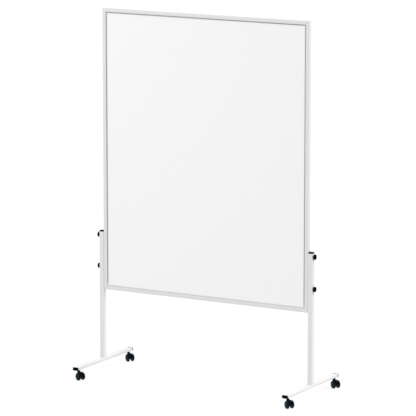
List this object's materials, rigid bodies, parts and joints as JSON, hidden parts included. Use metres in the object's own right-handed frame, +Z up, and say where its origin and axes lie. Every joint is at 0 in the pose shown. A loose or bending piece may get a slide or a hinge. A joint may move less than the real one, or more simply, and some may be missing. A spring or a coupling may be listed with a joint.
{
  "type": "rolling whiteboard",
  "caption": "Framed double-sided whiteboard held upright between two T-shaped stands on swivel castors, clamped with hand knobs.",
  "frame": {"origin": "on the floor, under the middle of the whole object's box (the parked castors move it a few millimetres off the board's own middle)", "axes": "+Z up, the front writing side faces -Y, +X to the right seen from the front"},
  "size_m": [1.32, 0.5696, 1.944],
  "materials": {
    "frame_rail": "satin",
    "stand_tube": "satin",
    "board_sheet": "gloss",
    "panel_core": "matte",
    "seal": "matte",
    "black_plastic": "satin",
    "zinc_steel": "satin",
    "black_steel": "satin",
    "castor_plastic": "gloss",
    "castor_tread": "satin"
  },
  "bodies": {
    "board_and_stands": {"frame_top_rail": "frame_rail", "frame_bottom_rail": "frame_rail", "frame_left_rail": "frame_rail", "frame_right_rail": "frame_rail", "corner_key_top_left": "zinc_steel", "corner_key_top_right": "zinc_steel", "corner_key_bottom_left": "zinc_steel", "corner_key_bottom_right": "zinc_steel", "panel_core": "panel_core", "front_sheet": "board_sheet", "back_sheet": "board_sheet", "front_seal": "seal", "back_seal": "seal", "post_left": "stand_tube", "foot_left": "stand_tube", "post_cap_left": "black_plastic", "foot_cap_left_front": "black_plastic", "castor_stem_left_front": "black_steel", "foot_cap_left_rear": "black_plastic", "castor_stem_left_rear": "black_steel", "frame_bush_left_upper": "zinc_steel", "frame_bush_left_lower": "zinc_steel", "post_right": "stand_tube", "foot_right": "stand_tube", "post_cap_right": "black_plastic", "foot_cap_right_front": "black_plastic", "castor_stem_right_front": "black_steel", "foot_cap_right_rear": "black_plastic", "castor_stem_right_rear": "black_steel", "frame_bush_right_upper": "zinc_steel", "frame_bush_right_lower": "zinc_steel"},
    "knob_slider_left_upper": {"knob_washer_left_upper": "zinc_steel"},
    "knob_left_upper": {"knob_stud_left_upper": "zinc_steel", "knob_head_left_upper": "black_plastic"},
    "knob_slider_left_lower": {"knob_washer_left_lower": "zinc_steel"},
    "knob_left_lower": {"knob_stud_left_lower": "zinc_steel", "knob_head_left_lower": "black_plastic"},
    "knob_slider_right_upper": {"knob_washer_right_upper": "zinc_steel"},
    "knob_right_upper": {"knob_stud_right_upper": "zinc_steel", "knob_head_right_upper": "black_plastic"},
    "knob_slider_right_lower": {"knob_washer_right_lower": "zinc_steel"},
    "knob_right_lower": {"knob_stud_right_lower": "zinc_steel", "knob_head_right_lower": "black_plastic"},
    "castor_left_front": {"castor_hood_left_front": "castor_plastic", "castor_axle_left_front": "black_steel"},
    "wheel_a_left_front": {"castor_wheel_a_left_front": "castor_tread"},
    "wheel_b_left_front": {"castor_wheel_b_left_front": "castor_tread"},
    "castor_left_rear": {"castor_hood_left_rear": "castor_plastic", "castor_axle_left_rear": "black_steel"},
    "wheel_a_left_rear": {"castor_wheel_a_left_rear": "castor_tread"},
    "wheel_b_left_rear": {"castor_wheel_b_left_rear": "castor_tread"},
    "castor_right_front": {"castor_hood_right_front": "castor_plastic", "castor_axle_right_front": "black_steel"},
    "wheel_a_right_front": {"castor_wheel_a_right_front": "castor_tread"},
    "wheel_b_right_front": {"castor_wheel_b_right_front": "castor_tread"},
    "castor_right_rear": {"castor_hood_right_rear": "castor_plastic", "castor_axle_right_rear": "black_steel"},
    "wheel_a_right_rear": {"castor_wheel_a_right_rear": "castor_tread"},
    "wheel_b_right_rear": {"castor_wheel_b_right_rear": "castor_tread"}
  },
  "joints": [
    {"name": "knob_travel_left_upper", "type": "slide", "parent": "board_and_stands", "child": "knob_slider_left_upper", "axis": [-1, 0, 0], "range_m": [0, 0.01]},
    {"name": "knob_turn_left_upper", "type": "hinge", "parent": "knob_slider_left_upper", "child": "knob_left_upper", "pos_m": [-0.64684, 0.00479, 0.736], "axis": [-1, 0, 0], "range_deg": [0, 2880]},
    {"name": "knob_travel_left_lower", "type": "slide", "parent": "board_and_stands", "child": "knob_slider_left_lower", "axis": [-1, 0, 0], "range_m": [0, 0.01]},
    {"name": "knob_turn_left_lower", "type": "hinge", "parent": "knob_slider_left_lower", "child": "knob_left_lower", "pos_m": [-0.64684, 0.00479, 0.568], "axis": [-1, 0, 0], "range_deg": [0, 2880]},
    {"name": "knob_travel_right_upper", "type": "slide", "parent": "board_and_stands", "child": "knob_slider_right_upper", "axis": [1, 0, 0], "range_m": [0, 0.01]},
    {"name": "knob_turn_right_upper", "type": "hinge", "parent": "knob_slider_right_upper", "child": "knob_right_upper", "pos_m": [0.62796, 0.00479, 0.736], "axis": [1, 0, 0], "range_deg": [0, 2880]},
    {"name": "knob_travel_right_lower", "type": "slide", "parent": "board_and_stands", "child": "knob_slider_right_lower", "axis": [1, 0, 0], "range_m": [0, 0.01]},
    {"name": "knob_turn_right_lower", "type": "hinge", "parent": "knob_slider_right_lower", "child": "knob_right_lower", "pos_m": [0.62796, 0.00479, 0.568], "axis": [1, 0, 0], "range_deg": [0, 2880]},
    {"name": "castor_swivel_left_front", "type": "hinge", "parent": "board_and_stands", "child": "castor_left_front", "pos_m": [-0.63433, -0.24871, 0.043], "axis": [0, 0, 1], "continuous": true},
    {"name": "wheel_roll_a_left_front", "type": "hinge", "parent": "castor_left_front", "child": "wheel_a_left_front", "pos_m": [-0.61479, -0.25741, 0.0208], "axis": [0.4067, 0.9135, 0], "continuous": true},
    {"name": "wheel_roll_b_left_front", "type": "hinge", "parent": "castor_left_front", "child": "wheel_b_left_front", "pos_m": [-0.61479, -0.25741, 0.0208], "axis": [0.4067, 0.9135, 0], "continuous": true},
    {"name": "castor_swivel_left_rear", "type": "hinge", "parent": "board_and_stands", "child": "castor_left_rear", "pos_m": [-0.63433, 0.25829, 0.043], "axis": [0, 0, 1], "continuous": true},
    {"name": "wheel_roll_a_left_rear", "type": "hinge", "parent": "castor_left_rear", "child": "wheel_a_left_rear", "pos_m": [-0.6158, 0.2476, 0.0208], "axis": [0.5, 0.866, 0], "continuous": true},
    {"name": "wheel_roll_b_left_rear", "type": "hinge", "parent": "castor_left_rear", "child": "wheel_b_left_rear", "pos_m": [-0.6158, 0.2476, 0.0208], "axis": [0.5, 0.866, 0], "continuous": true},
    {"name": "castor_swivel_right_front", "type": "hinge", "parent": "board_and_stands", "child": "castor_right_front", "pos_m": [0.61547, -0.24871, 0.043], "axis": [0, 0, 1], "continuous": true},
    {"name": "wheel_roll_a_right_front", "type": "hinge", "parent": "castor_right_front", "child": "wheel_a_right_front", "pos_m": [0.634, -0.2594, 0.0208], "axis": [0.5, 0.866, 0], "continuous": true},
    {"name": "wheel_roll_b_right_front", "type": "hinge", "parent": "castor_right_front", "child": "wheel_b_right_front", "pos_m": [0.634, -0.2594, 0.0208], "axis": [0.5, 0.866, 0], "continuous": true},
    {"name": "castor_swivel_right_rear", "type": "hinge", "parent": "board_and_stands", "child": "castor_right_rear", "pos_m": [0.61547, 0.25829, 0.043], "axis": [0, 0, 1], "continuous": true},
    {"name": "wheel_roll_a_right_rear", "type": "hinge", "parent": "castor_right_rear", "child": "wheel_a_right_rear", "pos_m": [0.63418, 0.24792, 0.0208], "axis": [0.4848, 0.8746, 0], "continuous": true},
    {"name": "wheel_roll_b_right_rear", "type": "hinge", "parent": "castor_right_rear", "child": "wheel_b_right_rear", "pos_m": [0.63418, 0.24792, 0.0208], "axis": [0.4848, 0.8746, 0], "continuous": true}
  ],
  "couplings": [
    {"joint": "knob_travel_left_upper", "follows": "knob_turn_left_upper", "m_per_rad": 0.00019894},
    {"joint": "knob_travel_left_lower", "follows": "knob_turn_left_lower", "m_per_rad": 0.00019894},
    {"joint": "knob_travel_right_upper", "follows": "knob_turn_right_upper", "m_per_rad": 0.00019894},
    {"joint": "knob_travel_right_lower", "follows": "knob_turn_right_lower", "m_per_rad": 0.00019894}
  ]
}
